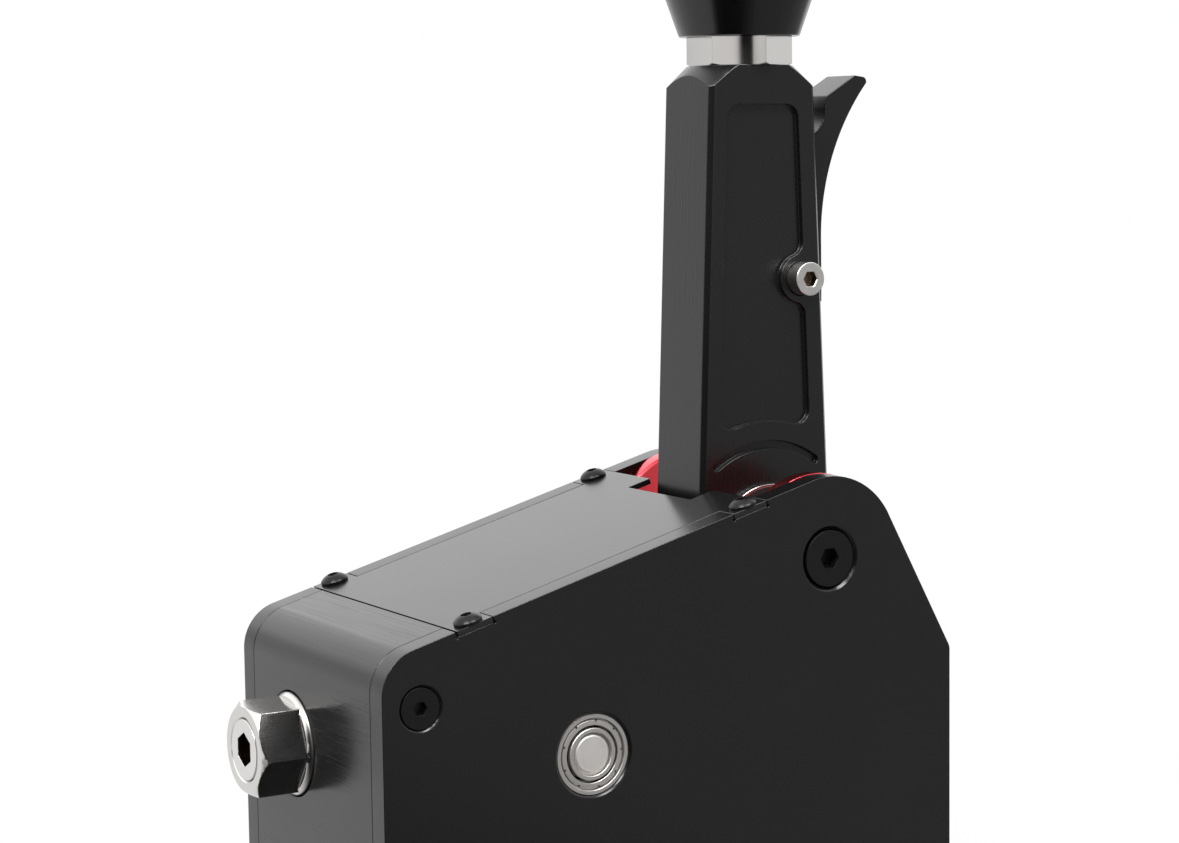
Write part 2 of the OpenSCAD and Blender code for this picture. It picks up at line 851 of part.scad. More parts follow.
// Spacer between a plate and a lever bearing: side is -1 or 1
module spacer(side) {
  color([0.72, 0.08, 0.12])
    place(pivot)
      rotate([-90 * side, 0, 0])
        rotate_extrude()
          polygon([
            [axle_r + fit, bearing_face_y], [spacer_hub_r, bearing_face_y],
            [spacer_hub_r, inner_y - spacer_t], [spacer_r - spacer_edge, inner_y - spacer_t],
            [spacer_r, inner_y - spacer_t + spacer_edge], [spacer_r, inner_y], [axle_r + fit, inner_y]
          ]);
}

module spacer_near() {
  spacer(-1);
}

module spacer_far() {
  spacer(1);
}

// Rings of the lever's bearings: the inner one stands still, the outer one turns
module lever_bearing_inner(side) {
  color([0.75, 0.75, 0.77])
    place(pivot)
      translate([0, side * lever_bearing_y, 0])
        rotate([90, 0, 0])
          ring(lever_race_r, axle_r + fit, lever_bearing_w);
}

module lever_bearing_outer(side) {
  color([0.75, 0.75, 0.77])
    place(pivot)
      translate([0, side * lever_bearing_y, 0])
        rotate([90, 0, 0])
          bearing_outer(
            lever_bearing_r, lever_bearing_r - lever_rim_t, lever_bearing_w, lever_race_r + clear, lever_lip
          );
}

module lever_bearing_near_inner() {
  lever_bearing_inner(-1);
}

module lever_bearing_far_inner() {
  lever_bearing_inner(1);
}

module lever_bearing_near_outer() {
  lever_bearing_outer(-1);
}

module lever_bearing_far_outer() {
  lever_bearing_outer(1);
}

// Rings of the rocker's bearings: the outer one stands still, the inner one turns
module shaft_bearing_outer(side) {
  color([0.75, 0.75, 0.77])
    place(shaft)
      translate([0, side * shaft_bearing_y, 0])
        rotate([90, 0, 0])
          bearing_outer(
            shaft_bearing_r, shaft_bearing_r - shaft_rim_t, shaft_bearing_w, shaft_race_r + clear, shaft_lip
          );
}

module shaft_bearing_inner(side) {
  color([0.75, 0.75, 0.77])
    place(shaft)
      translate([0, side * shaft_bearing_y, 0])
        rotate([90, 0, 0])
          ring(shaft_race_r, shaft_r + fit, shaft_bearing_w);
}

module shaft_bearing_near_outer() {
  shaft_bearing_outer(-1);
}

module shaft_bearing_far_outer() {
  shaft_bearing_outer(1);
}

module shaft_bearing_near_inner() {
  shaft_bearing_inner(-1);
}

module shaft_bearing_far_inner() {
  shaft_bearing_inner(1);
}

// Outline of the pocket in the lever's sides, in x and z from the pivot
module pocket_outline() {
  high = lever_top - pocket_top;
  offset(r = pocket_round)
    offset(delta = -pocket_round)
      difference() {
        polygon([
          [pocket_front - lever_half(0), 0], [lever_half(0) - pocket_rear, 0],
          [lever_half(high) - pocket_rear, high], [pocket_front - lever_half(high), high]
        ]);
        circle(pocket_low_r);
        translate([trigger_x, trigger_z])
          circle(trigger_boss_r);
      }
}

// Arc groove in the lever's side, cut from the face at y = 0 down to y = depth
module arc_groove(depth) {
  rotate([-90, 0, 0])
    rotate([0, 0, -90 - groove_half])
      rotate_extrude(angle = 2 * groove_half)
        translate([groove_r - groove_w / 2, -over])
          square([groove_w, depth + over]);
  for (end = [-1, 1])
    place(groove_r * [sin(end * groove_half), cos(groove_half)])
      bar_y(groove_w / 2 + lap, -over, depth);
}

// Space for the trigger in the lever, from the pivot
module trigger_slot() {
  far = lever_low_w;
  translate([slot_floor, -slot_w / 2, slot_low])
    cube([far, slot_w, slot_top - slot_low]);
  translate([eye_floor, -slot_w / 2, slot_low])
    cube([far, slot_w, slot_step - slot_low]);
  translate([slot_floor - switch_d, -switch_side / 2 - fit, switch_z - switch_side / 2 - fit])
    cube([switch_d + over, switch_side + 2 * fit, switch_side + 2 * fit]);
  translate([0, 0, spring_z])
    bar_x(spring_hole_r, slot_floor - spring_hole_d, slot_floor + over);
}

module lever() {
  half = lever_t / 2;
  color([0.2, 0.2, 0.21])
    difference() {
      place(pivot)
        intersection() {
          slab(-half, half) {
            polygon([
              [-lever_low_w / 2, 0], [lever_low_w / 2, 0],
              [lever_top_w / 2, lever_top], [-lever_top_w / 2, lever_top]
            ]);
            circle(lever_hub_r + lap);
            rotate(crank_angle)
              translate([0, -crank_w / 2])
                square([crank_len, crank_w]);
            rotate(crank_angle)
              translate([crank_len, 0])
                circle(crank_w / 2 + lap);
          }
          rotate_extrude()
            polygon([
              [0, -lever_top], [lever_top, -lever_top], [lever_top, lever_flat_r],
              [lever_flat_r, lever_top], [0, lever_top]
            ]);
        }
      place(pivot) {
        for (x = [-1, 1])
          for (y = [-1, 1])
            translate([x * lever_low_w / 2, y * half, 0])
              rotate([0, -x * lever_lean, 0])
                translate([0, 0, lever_top / 2 + lever_hub_r / 2])
                  rotate(45)
                    cube([lever_chamfer * sqrt(2), lever_chamfer * sqrt(2), lever_top], center = true);
        for (side = [-1, 1]) {
          slab(side < 0 ? -half - over : half - pocket_d, side < 0 ? pocket_d - half : half + over)
            pocket_outline();
          rotate([0, 0, side < 0 ? 0 : 180])
            translate([0, -half, 0])
              arc_groove(pocket_d);
          bar_y(
            lever_bearing_r + fit,
            side < 0 ? -half - over : half - lever_pocket_d,
            side < 0 ? lever_pocket_d - half : half + over
          );
        }
        bar_y(lever_web_r, -half, half);
        trigger_slot();
        place([trigger_x, trigger_z]) {
          bar_y(trigger_screw_r + fit, -half - over, half + over);
          bar_y(trigger_head_r + clear / 2, -half - over, trigger_head_h - trigger_head_proud - half);
        }
        translate([0, 0, lever_top - stud_depth])
          cylinder(h = stud_depth + over, r = stud_r + fit);
      }
      place(roller_at) {
        bar_y(crank_pin_r + fit, -half - over, half + over);
        rotate([0, -crank_angle, 0])
          translate([-crank_slot_depth, -crank_slot_w / 2, -crank_w])
            cube([crank_slot_depth + crank_w, crank_slot_w, 2 * crank_w]);
      }
    }
}

module crank_pin() {
  color([0.7, 0.7, 0.72])
    place(roller_at)
      bar_y(crank_pin_r, -lever_t / 2, lever_t / 2);
}

module crank_roller() {
  color([0.6, 0.6, 0.62])
    place(roller_at)
      rotate([90, 0, 0])
        ring(roller_r, crank_pin_r + run, roller_w);
}

module knob_stud() {
  color([0.7, 0.7, 0.72])
    place(pivot)
      translate([0, 0, lever_top - stud_depth])
        cylinder(h = stud_depth + collar_h + insert_h - stud_short, r = stud_r);
}

module knob_collar() {
  corner_r = collar_af / 2 / cos(30);
  foot_r = corner_r - collar_edge * chamfer_flare;
  color([0.8, 0.79, 0.78])
    place(pivot + [0, lever_top])
      difference() {
        intersection() {
          rotate(collar_turn)
            cylinder(h = collar_h, r = corner_r, $fn = 6);
          cylinder(h = collar_h, r1 = foot_r, r2 = foot_r + collar_h * chamfer_flare);
        }
        translate([0, 0, -over])
          cylinder(h = collar_h + 2 * over, r = stud_r + fit);
      }
}

module knob_insert() {
  color([0.72, 0.58, 0.3])
    place(pivot + [0, knob_z])
      difference() {
        cylinder(h = insert_h, r = insert_r);
        translate([0, 0, -over])
          cylinder(h = insert_h + 2 * over, r = stud_r + fit);
      }
}

module knob() {
  color([0.05, 0.05, 0.05])
    place(pivot + [0, knob_z])
      difference() {
        union() {
          cylinder(h = knob_join_z, r1 = knob_base_r, r2 = knob_join_r);
          translate([0, 0, knob_ball_h])
            sphere(knob_ball_r);
        }
        translate([0, 0, -knob_ball_r])
          cylinder(h = insert_h + knob_ball_r, r = insert_r + fit);
      }
}

module trigger() {
  low = trigger_z - trigger_eye_r;
  back = trigger_reach + fit;
  tip_round = [for (a = [-20 : 20 : 80]) trigger_tip_mid + trigger_tip_r * [cos(a), sin(a)]];
  color([0.18, 0.18, 0.19])
    place(pivot)
      difference() {
        slab(-trigger_w / 2, trigger_w / 2)
          difference() {
            union() {
              polygon(concat(
                [[trigger_x, low], [back, low], [back, trigger_hollow_z], [2 * back, trigger_hollow_z]],
                tip_round,
                [
                  trigger_peak, trigger_corner, trigger_notch + [trigger_notch_r - clear, 0],
                  [trigger_inner_top, trigger_notch_low + clear],
                  [trigger_inner_low, slot_step], [trigger_x, slot_step]
                ]
              ));
              translate([trigger_x, trigger_z])
                circle(trigger_eye_r);
            }
            translate([trigger_reach + trigger_hollow_r, trigger_hollow_z])
              circle(trigger_hollow_r, $fn = 128);
            translate(trigger_notch)
              circle(trigger_notch_r);
          }
        place([trigger_x, trigger_z])
          bar_y(trigger_screw_r + run, -trigger_w, trigger_w);
      }
}

module trigger_screw() {
  face = -lever_t / 2 - trigger_head_proud;
  color([0.8, 0.8, 0.8])
    place(pivot + [trigger_x, trigger_z])
      difference() {
        union() {
          bar_y(trigger_head_r, face, face + trigger_head_h);
          bar_y(trigger_screw_r, face + trigger_head_h / 2, lever_t / 2 - trigger_screw_short);
        }
        translate([0, face + trigger_head_h / 2, 0])
          rotate([90, 0, 0])
            cylinder(h = trigger_head_h, r = trigger_key / 2 / cos(30), $fn = 6);
      }
}

module trigger_spring() {
  color([0.7, 0.7, 0.7])
    place(pivot + [0, spring_z])
      coil(
        slot_floor - spring_hole_d, trigger_inner(spring_z) - clear,
        trigger_spring_mean_r, trigger_spring_wire, trigger_spring_turns
      );
}

module trigger_switch() {
  color([0.12, 0.12, 0.14])
    place(pivot + [slot_floor, switch_z]) {
      translate([-switch_d, -switch_side / 2, -switch_side / 2])
        cube([switch_d, switch_side, switch_side]);
      bar_x(button_r, -over, switch_button);
    }
}

module rocker() {
  half = rocker_w / 2;
  color([0.6, 0.6, 0.62])
    place(shaft)
      difference() {
        slab(-half, half)
          difference() {
            union() {
              circle(rocker_hub_r);
              rotate(fork_angle) {
                translate([0, -rocker_neck_w / 2])
                  square([fork_len - fork_head + over, rocker_neck_w]);
                translate([fork_len - fork_head, -fork_half])
                  square([fork_head + fork_reach, 2 * fork_half]);
              }
              translate([-rocker_eye_r, 0])
                square([2 * rocker_eye_r, yoke_pin_up]);
              translate([0, yoke_pin_up])
                circle(rocker_eye_r + lap);
              translate([-arm_w / 2, -arm_len])
                square([arm_w, arm_len]);
            }
            rotate(fork_angle) {
              translate([fork_len, 0])
                circle(roller_r + clear);
              translate([fork_len, -roller_r - clear])
                square([fork_reach + over, 2 * (roller_r + clear)]);
            }
          }
        bar_y(shaft_r + fit, -half - over, half + over);
        place([0, yoke_pin_up])
          bar_y(yoke_pin_r + fit, -half - over, half + over);
      }
}

module rocker_shaft() {
  bevel = 0.5;
  color([0.78, 0.76, 0.74])
    place(shaft) {
      bar_y(shaft_r, bevel - shaft_end_y, shaft_end_y - bevel);
      for (side = [-1, 1])
        rotate([-90 * side, 0, 0])
          translate([0, 0, shaft_end_y - bevel])
            cylinder(h = bevel, r1 = shaft_r, r2 = shaft_r - bevel);
    }
}

module yoke_pin() {
  color([0.7, 0.7, 0.72])
    place(shaft + [0, yoke_pin_up])
      bar_y(yoke_pin_r, -rocker_w / 2, adjuster_y + yoke_arm_w / 2 - clear);
}

module sensor_magnet() {
  color([0.75, 0.75, 0.78])
    place([shaft[0], magnet_z])
      bar_y(magnet_r, -rocker_w / 2 - magnet_t, -rocker_w / 2);
}

module adjuster_screw() {
  color([0.75, 0.74, 0.72])
    translate([0, adjuster_y, adjuster_z])
      difference() {
        bar_x(adjuster_r, nut_face, screw_end);
        hex_x(adjuster_key, nut_face - over, nut_face + adjuster_key_d, adjuster_key_turn);
        bar_x(rod_r + run, rod_bore_end, screw_end + over);
        difference() {
          bar_x(adjuster_r + over, wall_in + fit, wall_in + fit + clip_t);
          bar_x(clip_groove_r, wall_in - over, wall_in + clip_t + over);
        }
      }
}

module adjuster_nut() {
  seat = front_x + flange_seat;
  nut_len = seat - nut_face;
  face_r = adjuster_af / 2 - nut_edge;
  color([0.8, 0.79, 0.78])
    translate([0, adjuster_y, adjuster_z])
      difference() {
        union() {
          intersection() {
            hex_x(adjuster_af, nut_face, seat, nut_turn);
            translate([nut_face, 0, 0])
              rotate([0, 90, 0])
                cylinder(h = nut_len, r1 = face_r, r2 = face_r + nut_len * nut_flare);
          }
          translate([seat, 0, 0])
            rotate([0, -90, 0])
              rotate_extrude()
                polygon([
                  [0, 0], [flange_r, 0], [flange_r, flange_rim],
                  [flange_r - flange_t + flange_rim, flange_t], [0, flange_t]
                ]);
        }
        bar_x(adjuster_r + fit, nut_face - over, seat + over);
        translate([nut_face - over, 0, 0])
          rotate([0, 90, 0])
            cylinder(h = over + nut_sink, r1 = adjuster_r + nut_sink + over, r2 = adjuster_r);
      }
}

module adjuster_clip() {
  color([0.2, 0.2, 0.2])
    translate([wall_in + fit + clip_t / 2, adjuster_y, adjuster_z])
      rotate([0, 90, 0])
        ring(clip_r, clip_groove_r + fit, clip_t - 2 * fit);
}

module spring_seat() {
  color([0.68, 0.56, 0.3])
    translate([0, adjuster_y, adjuster_z])
      difference() {
        union() {
          bar_x(seat_r, seat_face - seat_t, seat_face);
          translate([seat_face - seat_t, -lug_w / 2, -guide_drop])
            cube([seat_t, lug_w, guide_drop]);
          translate([0, 0, -guide_drop])
            bar_x(lug_r, seat_face - seat_t, seat_face);
        }
        bar_x(adjuster_r + run, seat_face - seat_t - over, seat_face + over);
        translate([0, 0, -guide_drop])
          bar_x(guide_r + run, seat_face - seat_t - over, seat_face + over);
      }
}

module preload_spring() {
  color([0.7, 0.7, 0.7])
    translate([0, adjuster_y, adjuster_z])
      coil(seat_face, yoke_face, preload_mean_r, preload_wire, preload_turns);
}

module push_rod() {
  color([0.75, 0.75, 0.76])
    translate([0, adjuster_y, adjuster_z])
      bar_x(rod_r, rod_front, yoke_face + yoke_t);
}

module yoke() {
  arm_end = shaft[0] + yoke_pin_r + clear + yoke_prong;
  color([0.62, 0.62, 0.64])
    difference() {
      union() {
        translate([yoke_face, adjuster_y - yoke_half, adjuster_z - yoke_half])
          cube([yoke_t, 2 * yoke_half, 2 * yoke_half]);
        translate([yoke_face, adjuster_y - lug_w / 2, guide_z])
          cube([yoke_t, lug_w, guide_drop]);
        translate([0, adjuster_y, guide_z])
          bar_x(lug_r, yoke_face, yoke_face + yoke_t);
        translate([yoke_face, adjuster_y - yoke_arm_w / 2, yoke_arm_low])
          cube([arm_end - yoke_face, yoke_arm_w, yoke_arm_high - yoke_arm_low]);
      }
      translate([0, adjuster_y, adjuster_z])
        bar_x(rod_r + fit, yoke_face - over, yoke_face + yoke_t + over);
      translate([0, adjuster_y, guide_z])
        bar_x(guide_r + run, yoke_face - over, yoke_face + yoke_t + over);
      translate([shaft[0] - yoke_pin_r - clear, adjuster_y - yoke_arm_w, yoke_arm_low - over])
        cube([2 * (yoke_pin_r + clear), 2 * yoke_arm_w, yoke_slot_high - yoke_arm_low + over]);
    }
}

module guide_pin() {
  color([0.72, 0.72, 0.74])
    translate([0, adjuster_y, guide_z])
      bar_x(guide_r, wall_in - pin_seat, guide_end);
}

module return_spring() {
  color([0.7, 0.7, 0.7])
    translate([0, 0, return_z])
      coil(wall_in, return_end, return_mean_r, return_wire, return_turns);
}

module spring_peg() {
  color([0.3, 0.3, 0.31])
    translate([0, 0, return_z])
      bar_x(peg_r, wall_in - pin_seat, wall_in + peg_len);
}

// Stop block on the base: side is -1 in front of the rocker's arm and 1 behind it
module stop_block(side) {
  x0 = shaft[0] + (side < 0 ? -block_face - block_t : block_face);
  color([0.5, 0.5, 0.52])
    difference() {
      translate([x0, -block_w / 2, base_t])
        cube([block_t, block_w, block_top - base_t]);
      block_screw_places()
        cylinder(h = block_screw_len + over, r = m4[0] + fit);
      board_screw_places()
        rotate([-90, 0, 0])
          cylinder(h = board_screw_in + over, r = board_screw_r + fit);
    }
}

module stop_block_front() {
  stop_block(-1);
}

module stop_block_rear() {
  stop_block(1);
}

// Rubber pad on a stop block
module stop_pad(side) {
  color([0.07, 0.07, 0.07])
    translate([shaft[0] + (side < 0 ? -block_face : pad_face), -block_w / 2, pad_low])
      cube([pad_t, block_w, pad_h]);
}

module stop_pad_front() {
  stop_pad(-1);
}

module stop_pad_rear() {
  stop_pad(1);
}

// Places of the screws that come up through the base into the stop blocks
module block_screw_places() {
  for (side = [-1, 1])
    translate([shaft[0] + side * (block_face + block_t / 2), 0, 0])
      children();
}

module block_screws() {
  color([0.1, 0.1, 0.1])
    block_screw_places()
      translate([0, 0, head_drop])
        mirror([0, 0, 1])
          sunk_screw(m4, block_screw_len - head_drop);
}

// Places of the board's screws, on the near face of the stop blocks
module board_screw_places() {
  for (side = [-1, 1])
    translate([shaft[0] + side * (block_face + block_t / 2), -block_w / 2, board_screw_z])
      children();
}

module sensor_board() {
  half = block_face + block_t;
  color([0.05, 0.3, 0.15])
    difference() {
      translate([shaft[0] - half, -block_w / 2 - board_t, board_edge])
        cube([2 * half, board_t, board_top - board_edge]);
      board_screw_places()
        rotate([90, 0, 0])
          translate([0, 0, -over])
            cylinder(h = board_t + 2 * over, r = board_screw_r + fit);
    }
}

module board_screws() {
  color([0.75, 0.75, 0.75])
    board_screw_places()
      rotate([90, 0, 0]) {
        translate([0, 0, board_t])
          cylinder(h = board_head_h, r = 2 * board_screw_r);
        translate([0, 0, -board_screw_in])
          cylinder(h = board_screw_in + board_t + over, r = board_screw_r);
      }
}

module data_socket() {
  inner = rear_x - wall_t;
  color([0.72, 0.72, 0.74])
    translate([0, 0, socket_z])
      difference() {
        union() {
          translate([rear_x - socket_len, -socket_w / 2, -socket_h / 2])
            cube([socket_len, socket_w, socket_h]);
          translate([inner - socket_collar, -socket_w / 2 - socket_rim, -socket_h / 2 - socket_rim])
            cube([socket_collar, socket_w + 2 * socket_rim, socket_h + 2 * socket_rim]);
        }
        translate([rear_x - socket_len + socket_back, socket_skin - socket_w / 2, socket_skin - socket_h / 2])
          cube([socket_len, socket_w - 2 * socket_skin, socket_h - 2 * socket_skin]);
      }
}

base_plate();
side_plate_near();
side_plate_far();
front_wall();
rear_wall();
top_cover();
cover_screws();
side_screws();
pivot_screws();
pivot_axle();
spacer_near();
spacer_far();
lever_bearing_near_inner();
lever_bearing_far_inner();
lever_bearing_near_outer();
lever_bearing_far_outer();
shaft_bearing_near_outer();
shaft_bearing_far_outer();
shaft_bearing_near_inner();
shaft_bearing_far_inner();
lever();
crank_pin();
crank_roller();
knob_stud();
knob_collar();
knob_insert();
knob();
trigger();
trigger_screw();
trigger_spring();
trigger_switch();
rocker();
rocker_shaft();
yoke_pin();
sensor_magnet();
adjuster_screw();
adjuster_nut();
adjuster_clip();
spring_seat();
preload_spring();
push_rod();
yoke();
guide_pin();
return_spring();
spring_peg();
stop_block_front();
stop_block_rear();
stop_pad_front();
stop_pad_rear();
block_screws();
sensor_board();
board_screws();
data_socket();
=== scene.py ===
# %% [markdown]
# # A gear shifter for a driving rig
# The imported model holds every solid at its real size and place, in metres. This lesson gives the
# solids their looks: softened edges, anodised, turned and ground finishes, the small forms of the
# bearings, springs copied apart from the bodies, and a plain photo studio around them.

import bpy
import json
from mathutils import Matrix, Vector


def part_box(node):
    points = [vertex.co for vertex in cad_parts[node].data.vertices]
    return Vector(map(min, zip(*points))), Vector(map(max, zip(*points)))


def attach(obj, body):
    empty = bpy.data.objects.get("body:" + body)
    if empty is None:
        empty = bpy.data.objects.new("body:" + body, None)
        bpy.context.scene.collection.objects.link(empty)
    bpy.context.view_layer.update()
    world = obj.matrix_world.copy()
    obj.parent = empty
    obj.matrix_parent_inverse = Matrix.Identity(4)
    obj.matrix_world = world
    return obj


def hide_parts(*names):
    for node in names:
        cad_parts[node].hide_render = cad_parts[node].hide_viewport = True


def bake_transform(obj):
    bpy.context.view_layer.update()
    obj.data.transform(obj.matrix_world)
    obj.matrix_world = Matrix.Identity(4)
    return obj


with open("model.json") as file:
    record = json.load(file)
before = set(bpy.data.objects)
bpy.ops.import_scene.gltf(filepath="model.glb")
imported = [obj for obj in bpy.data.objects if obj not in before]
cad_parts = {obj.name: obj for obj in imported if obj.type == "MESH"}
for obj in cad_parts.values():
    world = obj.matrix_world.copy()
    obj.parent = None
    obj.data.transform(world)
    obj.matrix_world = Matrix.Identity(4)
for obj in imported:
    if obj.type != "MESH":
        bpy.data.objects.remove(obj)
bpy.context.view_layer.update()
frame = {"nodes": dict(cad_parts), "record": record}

import json
import math

import bmesh
import bpy
from mathutils import Matrix, Vector

MM = 0.001
record = frame["record"]
body_of = {node: body for body, nodes in record["behaviour"]["bodies"].items() for node in nodes}


# %% [markdown]
# ## Camera
# The picture was taken from in front and a little above, with a long lens. The place and the
# three turns below were solved from the plate's edges and holes, so the render can be laid
# over the picture.

# %% Make the camera
camera_place = Vector((-281.7, -472.55, 173.43)) * MM
camera_yaw = math.radians(30.62)
camera_pitch = math.radians(5.9)
camera_roll = math.radians(-0.77)
picture_w_px = 1179
focal_px = 2713.9
sensor_w = 36.0

scene = bpy.context.scene
lens = bpy.data.cameras.new("camera")
lens.sensor_width = sensor_w
lens.lens = focal_px * sensor_w / picture_w_px
lens.clip_start = 0.01
lens.clip_end = 100.0
camera = bpy.data.objects.new("camera", lens)
bpy.context.collection.objects.link(camera)
heading = Matrix.Rotation(-camera_yaw, 4, "Z")
tilt = Matrix.Rotation(math.radians(90) - camera_pitch, 4, "X")
lean = Matrix.Rotation(camera_roll, 4, "Z")
camera.matrix_world = Matrix.Translation(camera_place) @ heading @ tilt @ lean
scene.camera = camera
print("lens", round(lens.lens, 2), "mm")


# %% [markdown]
# ## Shader sums
# Every finish is a handful of noises that are added, scaled and mixed. A socket is wrapped in a
# small class, so that such a sum reads as a Python expression, and one method makes any node.

# %% Wrap a socket
class Wire:
    """A shader socket that takes part in Python sums: each operator adds a Math node."""

    def __init__(self, finish, socket):
        self.finish = finish
        self.socket = socket

    def sum(self, operation, first, second):
        return self.finish.node("Math", {"operation": operation}, {0: first, 1: second})["Value"]

    def __add__(self, other):
        return self.sum("ADD", self, other)

    def __radd__(self, other):
        return self.sum("ADD", other, self)

    def __sub__(self, other):
        return self.sum("SUBTRACT", self, other)

    def __rsub__(self, other):
        return self.sum("SUBTRACT", other, self)

    def __mul__(self, other):
        return self.sum("MULTIPLY", self, other)

    def __rmul__(self, other):
        return self.sum("MULTIPLY", other, self)


# %% Make a finish
class Finish:
    """One procedural material, with the nodes that feed its surface shader."""

    def __init__(self, name):
        self.material = bpy.data.materials.new(name)
        self.material.use_nodes = True
        self.tree = self.material.node_tree
        self.shader = self.tree.nodes["Principled BSDF"]

    def feed(self, node, key, value):
        named = [socket for socket in node.inputs if key in (socket.identifier, socket.name)]
        socket = node.inputs[key] if isinstance(key, int) else named[0]
        if isinstance(value, Wire):
            self.tree.links.new(value.socket, socket)
        else:
            socket.default_value = value

    def node(self, kind, settings, sockets):
        made = self.tree.nodes.new("ShaderNode" + kind)
        for key, value in settings.items():
            setattr(made, key, value)
        for key, value in sockets.items():
            self.feed(made, key, value)
        return {output.identifier: Wire(self, output) for output in made.outputs}

    def surface(self, sockets):
        for key, value in sockets.items():
            self.feed(self.shader, key, value)
        return self.material

    def place(self, centre=(0, 0, 0), scale=(1, 1, 1)):
        """Object coordinates, counted from a centre and stretched."""
        moved = [-scale[i] * centre[i] for i in range(3)]
        spot = self.node("TexCoord", {}, {})["Object"]
        return self.node("Mapping", {}, {"Vector": spot, "Location": moved, "Scale": scale})["Vector"]

    def noise(self, spot, scale, detail=2.0):
        return self.node("TexNoise", {}, {"Vector": spot, "Scale": scale, "Detail": detail})["Fac"]

    def radius(self, line):
        """Distance from a line, which is given by a point on it and the axis along which it runs."""
        centre, axis = line
        scale = tuple(0.0 if i == axis else 1.0 for i in range(3))
        across = self.place(centre, scale)
        return self.node("VectorMath", {"operation": "LENGTH"}, {0: across})["Value"]

    def spread(self, value, low, high):
        """Runs a value from 0 at low to 1 at high, and holds it there."""
        settings = {"interpolation_type": "SMOOTHSTEP"}
        return self.node("MapRange", settings, {"Value": value, 1: low, 2: high})["Result"]

    def mix(self, share, first, second):
        sockets = {"Factor_Float": share, "A_Color": first, "B_Color": second}
        return self.node("Mix", {"data_type": "RGBA"}, sockets)["Result_Color"]

    def mottle(self, share, colour, low, high=1.0):
        """A colour that a noise moves between a darker and a lighter shade of it."""
        return self.mix(share, shade(colour, low), shade(colour, high))

    def rays(self):
        """1 for the camera's own rays, and 1 for those that a surface mirrors or lets through."""
        path = self.node("LightPath", {}, {})
        return path["Is Camera Ray"], path["Is Glossy Ray"] + path["Is Transmission Ray"]

    def bump(self, height, strength, depth):
        sockets = {"Height": height, "Strength": strength, "Distance": depth}
        return self.node("Bump", {}, sockets)["Normal"]


def grey(level, warm=0.0):
    """A grey colour, a little warm or, with a negative warm, a little cold."""
    return (level * (1 + warm), level, level * (1 - warm), 1.0)


def shade(colour, share):
    """A colour, evenly darker or lighter."""
    return (*[share * part for part in colour[:3]], 1.0)


def between(share, first, second):
    """A number that a share from 0 to 1 moves from the first value to the second."""
    return first + (second - first) * share


def wander(noise, reach):
    """A noise about zero, with half of the reach to each side."""
    return reach * (noise - 0.5)


# %% [markdown]
# ## Studio
# The shifter stands before a bright white sweep, and the room on the camera's side is dark, with a
# grey wall at its right. That is why the faces that look to the front are nearly black, while the
# same black finish is grey where it mirrors the sweep at a flat angle. A bright box hangs above the
# sweep, and a round reflector in front of the part. The camera sees plain white all round. A mirrored
# ray sees one of these, by its direction, and all other light is an even, plain level.

# %% Light the world
# A glow is a strength. An edge is where a bright wall begins and where it is whole, as a part of the
# direction's length.
room_dim = 0.015
sweep_glow = 0.93
box_glow = 0.70
grey_glow = 0.38
even_glow = 0.33
sweep_edge = (-0.34, -0.10)
reflector_edge = (0.925, 0.955)
box_edge = (0.15, 0.33)
wall_edge = (0.20, 0.48)

scene.view_settings.view_transform = "Standard"
world = bpy.data.worlds.new("studio")
world.use_nodes = True
scene.world = world


class Room(Finish):
    """The nodes of the world, made in the same way as those of a finish."""

    def __init__(self, world):
        self.material = world
        self.tree = world.node_tree
        self.shader = self.tree.nodes["Background"]


room = Room(world)
look = room.node("TexCoord", {}, {})["Generated"]
ways = room.node("SeparateXYZ", {}, {"Vector": look})
sweep = room.spread(ways["Y"], *sweep_edge)
reflector = room.spread(0 - ways["Y"], *reflector_edge)
box = room.spread(ways["Z"], *box_edge)
wall = room.spread(ways["X"], *wall_edge) * (1 - sweep)
seen, mirrored = room.rays()
glow = between(sweep + reflector, room_dim, sweep_glow) + box_glow * sweep * box + grey_glow * wall
light = seen + mirrored * glow + (1 - seen - mirrored) * even_glow
room.surface({"Color": grey(1.0), "Strength": light})
print("world with", len(room.tree.nodes), "nodes")

# %% [markdown]
# The floor is white paper. To the camera it glows far away, so that no edge shows against the
# world, and it is partly lit paper near the part, where the part's shadow lies. A mirrored ray sees
# it as it sees the room: dark in front of the part, grey at its right and white behind it.

# %% Lay the floor
floor_half = 8.0
floor_drop = 0.3 * MM

floor_mesh = bpy.data.meshes.new("floor")
form = bmesh.new()
bmesh.ops.create_grid(form, x_segments=1, y_segments=1, size=floor_half)
bmesh.ops.translate(form, verts=form.verts, vec=(0, 0, -floor_drop))
form.to_mesh(floor_mesh)
form.free()
floor = bpy.data.objects.new("floor", floor_mesh)
bpy.context.collection.objects.link(floor)
print("floor", 2 * floor_half, "m wide")

# %% Cover the floor with paper
# A slant gives the weights of X and Y in a sum. A bright part of the floor begins where that sum, in
# metres, passes its edge.
paper_low = grey(0.80)
paper_high = grey(0.84)
near_glow = 0.92
shadow_edge = (0.12, 0.5)
sweep_slant = (-0.3, 0.8)
floor_sweep_edge = (0.02, 0.07)
wall_slant = (1.0, -0.2)
floor_wall_edge = (-0.10, 0.14)

